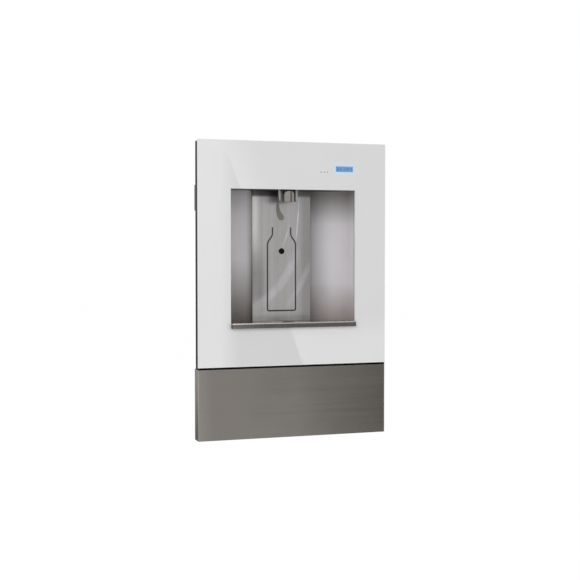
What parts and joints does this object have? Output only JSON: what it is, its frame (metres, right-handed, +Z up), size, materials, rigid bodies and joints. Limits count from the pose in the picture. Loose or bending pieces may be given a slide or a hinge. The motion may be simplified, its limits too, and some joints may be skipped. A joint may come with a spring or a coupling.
{
  "type": "bottle filling station",
  "caption": "Recessed wall bottle filling station with a glass front, curved steel alcove, touchless nozzle, drip tray with drain and a filter bay behind a pull-off steel panel.",
  "frame": {"origin": "centre of the wall box's flat back face", "axes": "+X to the right seen from the front, +Y into the wall, +Z up; the front faces -Y"},
  "size_m": [0.386, 0.122, 0.578],
  "materials": {
    "white_glass": "white glass painted behind, polished, with a ground bevel",
    "alcove_steel": "fine vertical brushing, softly reflecting",
    "panel_steel": "dark stainless steel, horizontal brushing",
    "tray_steel": "satin",
    "galvanised": "galvanised sheet with spangle",
    "black_plastic": "moulded, fine grain",
    "white_plastic": "moulded, semi-gloss",
    "filter_white": "moulded, glossy",
    "blue_plastic": "moulded, semi-gloss",
    "chrome": "polished",
    "brass": "machined",
    "rubber": "matte",
    "tubing": "milky polyethylene",
    "sensor_black": "infrared window, glossy",
    "enamel": "dark enamel in the groove",
    "display": "clear window lit from behind",
    "indicator": "clear window, smoky when off",
    "circuit_board": "solder mask",
    "spring_steel": "drawn wire",
    "zinc_steel": "zinc plated"
  },
  "bodies": {
    "station": {"box_back": "galvanised", "box_sides": "galvanised", "box_ends": "galvanised", "stud_brackets": "galvanised", "bezel_frame": "black_plastic", "frame_screws": "zinc_steel", "glass_tape": "rubber", "glass_panel": "white_glass", "display_window": "display", "status_windows": "indicator", "display_module": "black_plastic", "status_light_pipes": "indicator", "control_board": "circuit_board", "control_case": "black_plastic", "liner_gasket": "rubber", "liner_screws": "zinc_steel", "alcove_wall_left": "alcove_steel", "alcove_wall_right": "alcove_steel", "alcove_ceiling": "alcove_steel", "back_plate": "alcove_steel", "bottle_outline": "enamel", "sensor_lens": "sensor_black", "sensor_module": "black_plastic", "nozzle_body": "chrome", "nozzle_insert": "black_plastic", "nozzle_nut": "brass", "nozzle_shroud": "sensor_black", "drip_basin": "black_plastic", "service_nuts": "white_plastic", "drain_hose": "rubber", "drain_outlet": "white_plastic", "inlet_fitting": "brass", "shutoff_body": "brass", "filter_tubes": "tubing", "filter_bracket": "galvanised", "filter_head": "white_plastic", "filter_cradle": "black_plastic", "bracket_screws": "zinc_steel", "valve_bracket": "galvanised", "solenoid_body": "white_plastic", "solenoid_guide": "zinc_steel", "plunger_spring": "spring_steel", "solenoid_coil": "black_plastic", "nozzle_feed_tube": "tubing", "tube_nuts": "white_plastic", "power_supply": "black_plastic", "wiring": "rubber", "reset_housing": "white_plastic", "reset_spring": "spring_steel", "panel_catches": "black_plastic", "panel_magnets": "chrome"},
    "access_panel": {"access_panel": "panel_steel", "strike_plates": "zinc_steel"},
    "drip_tray": {"drip_tray": "tray_steel"},
    "drain_strainer": {"drain_strainer": "black_plastic"},
    "shutoff_lever": {"shutoff_lever": "blue_plastic"},
    "filter_cartridge": {"filter_cartridge": "filter_white", "filter_orings": "rubber"},
    "solenoid_plunger": {"solenoid_plunger": "zinc_steel"},
    "reset_button": {"reset_button": "blue_plastic"}
  },
  "joints": [
    {"name": "access_panel_pull", "type": "slide", "parent": "station", "child": "access_panel", "axis": [0, -1, 0], "range_m": [0, 0.12]},
    {"name": "tray_pull", "type": "slide", "parent": "station", "child": "drip_tray", "axis": [0, -1, 0], "range_m": [0, 0.1]},
    {"name": "strainer_lift", "type": "slide", "parent": "drip_tray", "child": "drain_strainer", "axis": [0, 0, 1], "range_m": [0, 0.03]},
    {"name": "shutoff_turn", "type": "hinge", "parent": "station", "child": "shutoff_lever", "pos_m": [-0.08, -0.06, -0.248], "axis": [0, 1, 0], "range_deg": [0, 90]},
    {"name": "filter_turn", "type": "hinge", "parent": "station", "child": "filter_cartridge", "pos_m": [0, -0.044, -0.194], "axis": [1, 0, 0], "range_deg": [0, 90]},
    {"name": "plunger_lift", "type": "slide", "parent": "station", "child": "solenoid_plunger", "axis": [0, 0, 1], "range_m": [0, 0.002], "stiffness_N_per_m": 400, "deforming": ["plunger_spring"]},
    {"name": "reset_press", "type": "slide", "parent": "station", "child": "reset_button", "axis": [0, 1, 0], "range_m": [0, 0.0015], "stiffness_N_per_m": 800, "deforming": ["reset_spring"]}
  ]
}
